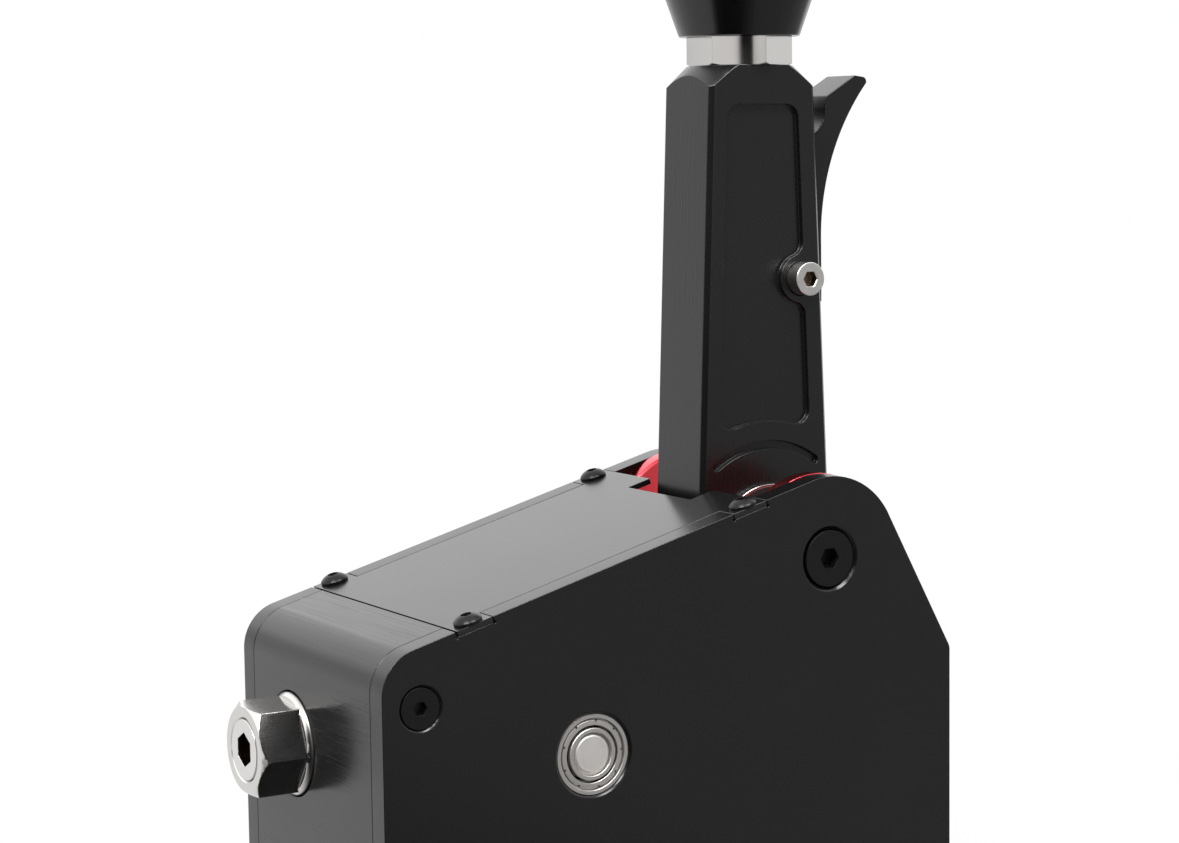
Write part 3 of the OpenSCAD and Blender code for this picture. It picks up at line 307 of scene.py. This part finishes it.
paper = Finish("paper")
grain = paper.noise(paper.place(), scale=40.0)
base = paper.mix(grain, paper_low, paper_high)
paper.surface({"Base Color": base, "Roughness": 0.9, "Specular IOR Level": 0.1})
seen, mirrored = paper.rays()
ways = paper.node("SeparateXYZ", {}, {"Vector": paper.place()})
behind = sweep_slant[0] * ways["X"] + sweep_slant[1] * ways["Y"]
aside = wall_slant[0] * ways["X"] + wall_slant[1] * ways["Y"]
sweep = paper.spread(behind, *floor_sweep_edge)
wall = grey_glow * paper.spread(aside, *floor_wall_edge)
away = paper.node("VectorMath", {"operation": "LENGTH"}, {0: paper.place()})["Value"]
share = between(paper.spread(away, *shadow_edge), near_glow, 1.0)
tint = paper.mix(seen + mirrored * (sweep + wall), grey(room_dim), grey(1.0))
shine = paper.node("Emission", {}, {"Color": tint, "Strength": 1.0})["Emission"]
dull = Wire(paper, paper.shader.outputs["BSDF"])
both = paper.node("MixShader", {}, {0: seen * share + mirrored, 1: dull, 2: shine})["Shader"]
paper.feed(paper.tree.nodes["Material Output"], "Surface", both)
floor_mesh.materials.append(paper.material)
print("paper with", len(paper.tree.nodes), "nodes")


# %% [markdown]
# Two soft boxes give the light a direction: one high at the front wall's side, which reaches behind
# the lever, and one high in front, which the turned metal catches. They hang where no flat face
# mirrors them to the camera.

# %% Hang the lamps
def lamp(name, place, aim, size, watts):
    """A square soft box that looks at a point."""
    light = bpy.data.lights.new(name, "AREA")
    light.size = size
    light.energy = watts
    holder = bpy.data.objects.new(name, light)
    bpy.context.collection.objects.link(holder)
    look = Vector(aim) - Vector(place)
    turn = look.to_track_quat("-Z", "Y").to_matrix().to_4x4()
    holder.matrix_world = Matrix.Translation(place) @ turn
    return holder


part_middle = (0.0, 0.0, 0.11)
side_place = (-0.66, -0.42, 0.97)
front_place = (0.11, -0.60, 1.02)
lamps = [
    lamp("side_lamp", side_place, part_middle, size=0.5, watts=15.0),
    lamp("front_lamp", front_place, part_middle, size=0.5, watts=11.0),
]
print("lamps", len(lamps))


# %% [markdown]
# ## Finishes
# Plates, walls, cover, lever and trigger are aluminium with a black satin anodised skin: nearly
# black, with a fine grain that softens what it mirrors. A picture of a real skin could be laid on,
# but noises have no seams and stay sharp at any distance.

# %% Anodised skins
def anodised(name, tone, rough, gloss, streak=(1, 1, 1), marked=0.05, warm=0.0):
    """Black satin skin: faint clouds, a fine grain, and tool marks along the stretched axis."""
    skin = Finish(name)
    clouds = skin.noise(skin.place(), scale=35.0)
    fine = skin.noise(skin.place(), scale=5200.0)
    marks = skin.noise(skin.place(scale=streak), scale=2600.0)
    base = skin.mottle(clouds, grey(tone, warm), low=0.85, high=1.15)
    uneven = wander(clouds, reach=0.06) + wander(fine, reach=0.08)
    sheen = rough + uneven + wander(marks, reach=2 * marked)
    relief = skin.bump(fine + marks, strength=marked, depth=0.02 * MM)
    skin.surface({"Specular IOR Level": gloss})
    return skin.surface({"Base Color": base, "Roughness": sheen, "Normal": relief})


stretch = 0.015
along_x = (stretch, 1.0, 1.0)
along_y = (1.0, stretch, 1.0)
along_z = (1.0, 1.0, stretch)
plate_skin = anodised("plate_anodised", tone=0.003, rough=0.24, gloss=0.48)
wall_skin = anodised("wall_anodised", tone=0.008, rough=0.22, gloss=0.43, streak=along_y, marked=0.16)
cover_skin = anodised("cover_anodised", tone=0.006, rough=0.20, gloss=0.475, streak=along_y,
                      marked=0.02)
lever_skin = anodised("lever_anodised", tone=0.0035, rough=0.27, gloss=0.52, streak=along_z,
                      marked=0.015, warm=-0.04)
print("black skins", [skin.name for skin in (plate_skin, wall_skin, cover_skin, lever_skin)])


# %% [markdown]
# A round solid has zones that lie about its axis: a rim, a face, a socket. Each zone could be a piece
# of its own, but the distance from the axis tells them apart within one finish. The axes and the
# rims' radii are measured from the solids, so that they follow a change of shape.

# %% Measure the round solids
def middle(node):
    """The middle of a solid's box."""
    low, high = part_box(node)
    return (Vector(low) + Vector(high)) / 2


def half_width(node):
    """Half of a solid's box along X, which is the radius of a round solid about Y."""
    low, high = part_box(node)
    return (high[0] - low[0]) / 2


x_axis = 0
y_axis = 1
shaft_line = (middle("rocker_shaft"), y_axis)
pivot_line = (middle("pivot_axle"), y_axis)
adjuster_line = (middle("adjuster_screw"), x_axis)
trigger_line = (middle("trigger_screw"), y_axis)
spacer_r = half_width("spacer_near")
bearing_r = half_width("lever_bearing_near_outer")
print("red disc radius", round(spacer_r / MM, 2), "mm, bearing radius", round(bearing_r / MM, 2), "mm")


# %% [markdown]
# The discs at both sides of the lever are anodised too. They are blasted matt, dyed red, and have a
# turned rim that shines.

# %% Red discs
def dyed(name, line, colour, rim_r):
    """Dyed skin over aluminium: a blasted, matt face with a bright turned rim about a line."""
    skin = Finish(name)
    fine = skin.noise(skin.place(), scale=4200.0)
    rim = skin.spread(skin.radius(line), low=rim_r - 0.3 * MM, high=rim_r - 0.1 * MM)
    base = skin.mottle(fine, colour, low=0.92)
    sheen = between(rim, first=0.5, second=0.18) + wander(fine, reach=0.08)
    metal = between(rim, first=0.05, second=1.0)
    return skin.surface({"Base Color": base, "Roughness": sheen, "Metallic": metal})


red = (0.96, 0.085, 0.11)
red_skin = dyed("red_anodised", pivot_line, red, spacer_r)
print("red skin", red_skin.name)


# %% [markdown]
# A lathe leaves fine rings about the turning axis, and they draw the light out across them. The rings
# could be modelled, but a bump is enough at their size. A key socket is deep, so the rings end at it,
# and the shade inside it is painted into the colour as a dark tone.

# %% Turned steel
ring_sheen = 0.05
# A dark colour, painted as the shade inside a deep key socket.
socket_painted_shade = grey(0.15, warm=0.3)


def turned(name, line, tone, rough, pitch, depth, warm=0.02, socket=None):
    """Bright metal with fine rings about a line, as a lathe leaves them, and painted shade in its key
    socket.
    """
    steel = Finish(name)
    out = steel.radius(line)
    rings = steel.node("Math", {"operation": "SINE"}, {0: out * (math.tau / pitch)})["Value"]
    haze = steel.noise(steel.place(), scale=900.0)
    base = steel.mottle(haze, grey(tone, warm), low=0.92)
    if socket:
        face, socket_r = socket
        axis = line[1]
        along = steel.node("SeparateXYZ", {}, {"Vector": steel.place()})["XYZ"[axis]]
        deep = steel.spread(along, low=face + 0.1 * MM, high=face + 0.4 * MM)
        inside = deep * (1 - steel.spread(out, low=socket_r, high=socket_r + 0.1 * MM))
        rings = rings * (1 - inside)
        # Painted shade: the deep part of the key socket is darkened in its colour.
        base = steel.mix(inside, base, socket_painted_shade)
    sheen = rough + ring_sheen * rings + wander(haze, reach=0.12)
    relief = steel.bump(rings, strength=1.0, depth=depth)
    return steel.surface({"Base Color": base, "Roughness": sheen, "Metallic": 1.0, "Normal": relief})


# A socket is given by the place of its face along the axis and by its radius.
screw_socket = (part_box("adjuster_screw")[0][x_axis], 3.5 * MM)
trigger_socket = (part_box("trigger_screw")[0][y_axis], 2.0 * MM)
shaft_steel = turned("shaft_steel", shaft_line, tone=0.84, rough=0.60, pitch=0.40 * MM,
                     depth=0.008 * MM, warm=0.035)
ring_steel = turned("ring_steel", shaft_line, tone=0.66, rough=0.45, pitch=0.25 * MM,
                    depth=0.004 * MM, warm=0.04)
pivot_steel = turned("pivot_steel", pivot_line, tone=0.66, rough=0.20, pitch=0.25 * MM,
                     depth=0.003 * MM)
screw_steel = turned("screw_steel", adjuster_line, tone=0.70, rough=0.22, pitch=0.30 * MM,
                     depth=0.004 * MM, socket=screw_socket)
trigger_steel = turned("trigger_steel", trigger_line, tone=0.80, rough=0.34, pitch=0.30 * MM,
                       depth=0.006 * MM, warm=0.03, socket=trigger_socket)
turned_steels = (shaft_steel, ring_steel, pivot_steel, screw_steel, trigger_steel)
print("turned", [steel.name for steel in turned_steels])


# %% [markdown]
# The flats of the collar are polished on a soft wheel, which crowns them. The crown could be shaped,
# but it is far too flat for that: a bump that falls to both sides of a ridge turns the mirrored
# light, and a dark streak stands on the ridge.

# %% Crowned flats
crown_turn = math.radians(-30)
crown_off = 0.7 * MM
crown_soft = 1.7 * MM
crown_lean = 0.14
crown_fall = 0.39


def crowned(name, centre, tone, rough, streak, warm=0.02):
    """Bright ground metal with a flat crown on the flat that looks at the camera."""
    steel = Finish(name)
    spot = steel.node("SeparateXYZ", {}, {"Vector": steel.place(centre)})
    along = math.cos(crown_turn) * spot["X"] + math.sin(crown_turn) * spot["Y"] - crown_off
    squares = along * along + crown_soft * crown_soft
    ridge = steel.node("Math", {"operation": "SQRT"}, {0: squares})["Value"]
    marks = steel.noise(steel.place(scale=streak), scale=3200.0, detail=3.0)
    haze = steel.noise(steel.place(), scale=250.0)
    base = steel.mottle(haze, grey(tone, warm), low=0.92)
    sheen = rough + wander(marks, reach=0.10) + wander(haze, reach=0.06)
    relief = steel.bump(crown_lean * along - crown_fall * ridge, strength=1.0, depth=1.0)
    return steel.surface({"Base Color": base, "Roughness": sheen, "Metallic": 1.0, "Normal": relief})


collar_steel = crowned("collar_steel", middle("knob"), tone=0.60, rough=0.17, streak=along_z, warm=0.03)
print("crowned", collar_steel.name)


# %% [markdown]
# Grinding leaves straight scratches, which a noise gives when it is stretched along one axis. The
# nut's flats are ground like this, and its flange, beyond the hexagon, is duller.

# %% Ground metals
flange_tone = 0.55
flange_rough = 0.2


def ground(name, tone, rough, streak, warm=0.02, flange=None):
    """Bright metal with fine straight scratches along the stretched axis, and a nut's duller flange."""
    steel = Finish(name)
    marks = steel.noise(steel.place(scale=streak), scale=3200.0, detail=3.0)
    haze = steel.noise(steel.place(), scale=250.0)
    base = steel.mottle(haze, grey(tone, warm), low=0.9)
    sheen = rough + wander(marks, reach=0.6 * rough) + wander(haze, reach=0.3 * rough)
    if flange:
        line, hexagon_r = flange
        beyond = steel.spread(steel.radius(line), low=hexagon_r, high=hexagon_r + 0.3 * MM)
        base = steel.mix(beyond, base, grey(tone * flange_tone, warm))
        sheen = sheen + flange_rough * beyond
    relief = steel.bump(marks, strength=0.10, depth=0.01 * MM)
    return steel.surface({"Base Color": base, "Roughness": sheen, "Metallic": 1.0, "Normal": relief})


# A flange is given by its axis and by the distance from it at which the hexagon ends.
nut_flange = (adjuster_line, 9.85 * MM)
nut_steel = ground("nut_steel", tone=0.64, rough=0.15, streak=along_x, warm=0.025, flange=nut_flange)
plain_steel = ground("plain_steel", tone=0.60, rough=0.28, streak=along_y)
milled_metal = ground("milled_metal", tone=0.55, rough=0.34, streak=along_z)
brass = ground("brass_metal", tone=0.5, rough=0.3, streak=along_y, warm=0.35)
print("ground", [metal.name for metal in (nut_steel, plain_steel, milled_metal, brass)])


# %% [markdown]
# The lever's bearings show a bright rim round a black face, which is painted shade for the unlit gap
# that the face mirrors, and the screws of the housing are blackened steel. Both are dark and plain, so
# a rim zone and a fine grain are all that they need.

# %% Bearing faces with painted shade, and black steel
# The bearing's black face is painted shade: it stands for the unlit gap beside the lever that it
# mirrors.
face_painted_shade = grey(0.006)
rim_tint = grey(0.66, warm=0.02)


def rim_and_painted_shade(name, line, rim_r):
    """A bearing about a line: a bright rim round a black face, which is painted shade."""
    steel = Finish(name)
    rim = steel.spread(steel.radius(line), low=rim_r - 0.6 * MM, high=rim_r - 0.5 * MM)
    haze = steel.noise(steel.place(), scale=900.0)
    base = steel.mix(rim, face_painted_shade, rim_tint)
    sheen = between(rim, first=0.55, second=0.20) + wander(haze, reach=0.1)
    return steel.surface({"Base Color": base, "Roughness": sheen, "Metallic": rim})


def blackened(name, tone, rough, gloss):
    """Black oxide on steel: dark, a little oily, with a fine crystal grain."""
    skin = Finish(name)
    fine = skin.noise(skin.place(), scale=3800.0)
    base = skin.mottle(fine, grey(tone), low=0.7, high=1.3)
    sheen = rough + wander(fine, reach=0.16)
    relief = skin.bump(fine, strength=0.15, depth=0.02 * MM)
    skin.surface({"Specular IOR Level": gloss})
    return skin.surface({"Base Color": base, "Roughness": sheen, "Normal": relief})


shaded_bearing_steel = rim_and_painted_shade("bearing_painted_shade", pivot_line, bearing_r)
black_steel = blackened("black_oxide", tone=0.004, rough=0.30, gloss=0.24)
print("dark metals", [shaded_bearing_steel.name, black_steel.name])


# %% [markdown]
# The knob is glossy black plastic, the stop pads are rubber, and the board has a coat of green
# lacquer. They differ only in colour, gloss and the size of a fine grain, so one function makes them.

# %% Plastics
def moulded(name, colour, rough, grain, depth):
    """Plastic, rubber or lacquer: an even colour with a fine leather grain."""
    skin = Finish(name)
    bed = skin.noise(skin.place(), scale=grain, detail=3.0)
    base = skin.mottle(bed, colour, low=0.82)
    sheen = rough + wander(bed, reach=0.1)
    relief = skin.bump(bed, strength=0.2, depth=depth)
    return skin.surface({"Base Color": base, "Roughness": sheen, "Normal": relief})


knob_black = (0.0018, 0.0018, 0.0020)
soft_black = (0.015, 0.015, 0.017)
board_green = (0.01, 0.09, 0.035)
knob_skin = moulded("knob_plastic", knob_black, rough=0.20, grain=1600.0, depth=0.003 * MM)
rubber = moulded("rubber", grey(0.02), rough=0.75, grain=900.0, depth=0.05 * MM)
black_plastic = moulded("black_plastic", soft_black, rough=0.5, grain=1500.0, depth=0.03 * MM)
solder_mask = moulded("solder_mask", board_green, rough=0.3, grain=700.0, depth=0.01 * MM)
print("materials", len(bpy.data.materials))


# %% [markdown]
# ## Standing for a solid
# A dressed piece takes the place of a solid: it hides the solid, takes one finish and, unless the
# caller says that it bends, rides on the same body. Every dressed piece goes through this one
# function.

# %% Put a dressed piece in a solid's place
def stand_for(node, form, finish, section="", bends=False):
    """Makes the object of a dressed mesh, which stands for a solid, or for a section of it."""
    name = node + section + "_dressed"
    mesh = bpy.data.meshes.new(name)
    form.to_mesh(mesh)
    form.free()
    mesh.shade_smooth()
    mesh.materials.clear()
    mesh.materials.append(finish)
    piece = bpy.data.objects.new(name, mesh)
    bpy.context.collection.objects.link(piece)
    if not bends:
        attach(piece, body_of[node])
    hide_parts(node)
    return piece


# %% [markdown]
# ## Softened edges
# A machined edge is never sharp: it has a small chamfer that catches the light. Each solid that
# shows is copied, its loose triangles are merged and its flat faces joined again, and a narrow
# bevel runs along every hard edge. The shading then follows the large faces, so the flats stay
# flat and only the bevel looks round. The bevel could be cut into the mesh at once, but as a live
# one its width is a value that can be changed.

# %% Copy a solid with soft edges
merge_gap = 0.002 * MM
flat_angle = math.radians(0.6)
hard_angle = math.radians(28)


def softened(node, finish, edge, rounds=2):
    """A copy of a solid whose hard edges have a narrow round."""
    form = bmesh.new()
    form.from_mesh(frame["nodes"][node].data)
    bmesh.ops.remove_doubles(form, verts=form.verts, dist=merge_gap)
    bmesh.ops.dissolve_degenerate(form, edges=form.edges, dist=merge_gap)
    bmesh.ops.dissolve_limit(form, angle_limit=flat_angle, verts=form.verts, edges=form.edges)
    piece = stand_for(node, form, finish)
    bevel = piece.modifiers.new("soft_edge", "BEVEL")
    bevel.limit_method = "ANGLE"
    bevel.angle_limit = hard_angle
    bevel.width = edge
    bevel.segments = rounds
    bevel.use_clamp_overlap = False
    shading = piece.modifiers.new("flat_faces", "WEIGHTED_NORMAL")
    shading.mode = "FACE_AREA"
    return piece


# Each solid has a finish and the width of its soft edge in mm.
soft_pieces = {
    "side_plate_near": (plate_skin, 0.15),
    "side_plate_far": (plate_skin, 0.15),
    "front_wall": (wall_skin, 0.30),
    "rear_wall": (wall_skin, 0.30),
    "top_cover": (cover_skin, 0.15),
    "base_plate": (plate_skin, 0.20),
    "lever": (lever_skin, 0.15),
    "trigger": (lever_skin, 0.20),
    "spacer_near": (red_skin, 0.15),
    "spacer_far": (red_skin, 0.15),
    "knob_collar": (collar_steel, 0.12),
    "adjuster_nut": (nut_steel, 0.10),
    "adjuster_screw": (screw_steel, 0.15),
    "cover_screws": (black_steel, 0.08),
    "side_screws": (black_steel, 0.08),
    "pivot_screws": (black_steel, 0.10),
    "trigger_screw": (trigger_steel, 0.25),
    "rocker_shaft": (shaft_steel, 0.10),
    "lever_bearing_near_outer": (shaded_bearing_steel, 0.20),
    "lever_bearing_far_outer": (shaded_bearing_steel, 0.20),
    "data_socket": (plain_steel, 0.08),
    "knob": (knob_skin, 0.30),
}
for node, (finish, edge) in soft_pieces.items():
    softened(node, finish, edge * MM)
print("softened", len(soft_pieces), "solids")


# %% [markdown]
# ## Shielded bearings
# In each plate sits a ball bearing with its shield showing: an outer ring with a groove, in which
# the shield's edge is crimped at nine places, and an inner ring on the shaft. A lathe would turn
# these rings, and so does a spin: a cross-section is drawn as a loop of edges, half a width to each
# side of the middle, and turned about the shaft's axis.

# %% Turn a ring
ring_steps = 90


def ring_form(half_section, centre):
    """A closed ring about Y. The half section gives radius and height in mm, from the outside in."""
    other_half = [(r, -h) for r, h in reversed(half_section)]
    form = bmesh.new()
    corners = [form.verts.new((r * MM, h * MM, 0)) for r, h in half_section + other_half]
    sides = [form.edges.new(pair) for pair in zip(corners, corners[1:] + corners[:1])]
    bmesh.ops.spin(form, geom=corners + sides, cent=(0, 0, 0), axis=(0, 1, 0), dvec=(0, 0, 0),
                   angle=math.tau, steps=ring_steps, use_merge=True)
    bmesh.ops.remove_doubles(form, verts=form.verts, dist=merge_gap)
    bmesh.ops.recalc_face_normals(form, faces=form.faces)
    bmesh.ops.translate(form, verts=form.verts, vec=centre)
    return form


# %% Turn the bearings
sharp_angle = math.radians(25)
crimp_places = 9
crimp_every = ring_steps // crimp_places
crimp_r = (6.4 * MM, 6.7 * MM)
crimp_depth = 0.6 * MM
outer_section = [
    (8.0, 2.35), (7.85, 2.5), (7.15, 2.5), (7.08, 2.43), (7.06, 1.4), (6.74, 1.4), (6.72, 2.2),
    (6.66, 2.26), (6.36, 2.3), (5.74, 2.3), (5.66, 2.22), (5.62, 1.7), (6.5, 1.3),
]
inner_section = [(5.12, 2.4), (5.02, 2.5), (4.36, 2.5), (4.28, 2.42), (4.26, 1.6), (4.02, 1.6)]


def crimped(form, centre):
    """Pushes in the faces of the shield's outer band at the crimps, on both sides of the bearing."""
    picked = []
    for face in form.faces:
        spot = face.calc_center_median() - centre
        turn = math.atan2(spot.z, spot.x) / math.tau * ring_steps
        on_band = crimp_r[0] < math.hypot(spot.x, spot.z) < crimp_r[1] and face.normal.y * spot.y > 0
        if on_band and math.floor(turn) % crimp_every == 0:
            picked.append(face)
    for face in bmesh.ops.extrude_discrete_faces(form, faces=picked)["faces"]:
        inwards = -math.copysign(crimp_depth, face.normal.y)
        bmesh.ops.translate(form, verts=face.verts, vec=(0, inwards, 0))
    return len(picked)


for side in ("near", "far"):
    centre = middle("shaft_bearing_" + side + "_outer")
    shielded = ring_form(outer_section, centre)
    crimps = crimped(shielded, centre)
    outer = stand_for("shaft_bearing_" + side + "_outer", shielded, ring_steel)
    inner = stand_for("shaft_bearing_" + side + "_inner", ring_form(inner_section, centre), ring_steel)
    outer.data.set_sharp_from_angle(angle=sharp_angle)
    inner.data.set_sharp_from_angle(angle=sharp_angle)
    print(side, "bearing with", crimps, "crimped faces")


# %% [markdown]
# ## Springs
# The ends of a spring are pressed by two bodies, between which its coils would close up or open. Here
# each spring is copied and rides on no body. The preload spring lies between two slides, so it is cut
# at its middle, which stands still.

# %% Copy and cut the springs, free of any body
def cut_at(form, place, keep_front):
    """Cuts a mesh across X, keeps the part in front of or behind the cut, and closes it."""
    everything = form.verts[:] + form.edges[:] + form.faces[:]
    bmesh.ops.bisect_plane(form, geom=everything, plane_co=place, plane_no=(1, 0, 0),
                           clear_outer=keep_front, clear_inner=not keep_front)
    bmesh.ops.holes_fill(form, edges=form.edges)


def bent_spring(node, section="", start_share=0.0, end_share=1.0):
    """A copy of a spring along X, cut at shares of its length, that rides on no body."""
    low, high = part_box(node)
    start = middle(node)
    end = middle(node)
    start.x = low[0] + start_share * (high[0] - low[0])
    end.x = low[0] + end_share * (high[0] - low[0])
    form = bmesh.new()
    form.from_mesh(frame["nodes"][node].data)
    bmesh.ops.remove_doubles(form, verts=form.verts, dist=merge_gap)
    if start_share > 0:
        cut_at(form, start, keep_front=False)
    if end_share < 1:
        cut_at(form, end, keep_front=True)
    piece = stand_for(node, form, plain_steel, section, bends=True)
    piece.data.set_sharp_from_angle(angle=sharp_angle)
    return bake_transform(piece)


halfway = 0.5
springs = [
    bent_spring("return_spring"),
    bent_spring("trigger_spring"),
    bent_spring("preload_spring", "_front", end_share=halfway),
    bent_spring("preload_spring", "_rear", start_share=halfway),
]
print("springs", [spring.name for spring in springs])


# %% [markdown]
# ## The inner solids
# What lies inside the housing is hardly seen. It could be dressed like the outside, but a finish on
# the bare solid is enough there.

# %% Finish the inner solids
inner_finish = {
    "pivot_axle": pivot_steel,
    "lever_bearing_near_inner": pivot_steel,
    "lever_bearing_far_inner": pivot_steel,
    "knob_stud": plain_steel,
    "knob_insert": brass,
    "crank_pin": plain_steel,
    "crank_roller": plain_steel,
    "trigger_switch": black_plastic,
    "rocker": milled_metal,
    "yoke_pin": plain_steel,
    "sensor_magnet": plain_steel,
    "adjuster_clip": black_steel,
    "spring_seat": brass,
    "push_rod": plain_steel,
    "yoke": milled_metal,
    "guide_pin": plain_steel,
    "spring_peg": black_plastic,
    "stop_block_front": milled_metal,
    "stop_block_rear": milled_metal,
    "stop_pad_front": rubber,
    "stop_pad_rear": rubber,
    "block_screws": black_steel,
    "sensor_board": solder_mask,
    "board_screws": plain_steel,
}
for node, finish in inner_finish.items():
    solid = frame["nodes"][node]
    solid.data.materials.clear()
    solid.data.materials.append(finish)
print("finished", len(inner_finish), "inner solids")
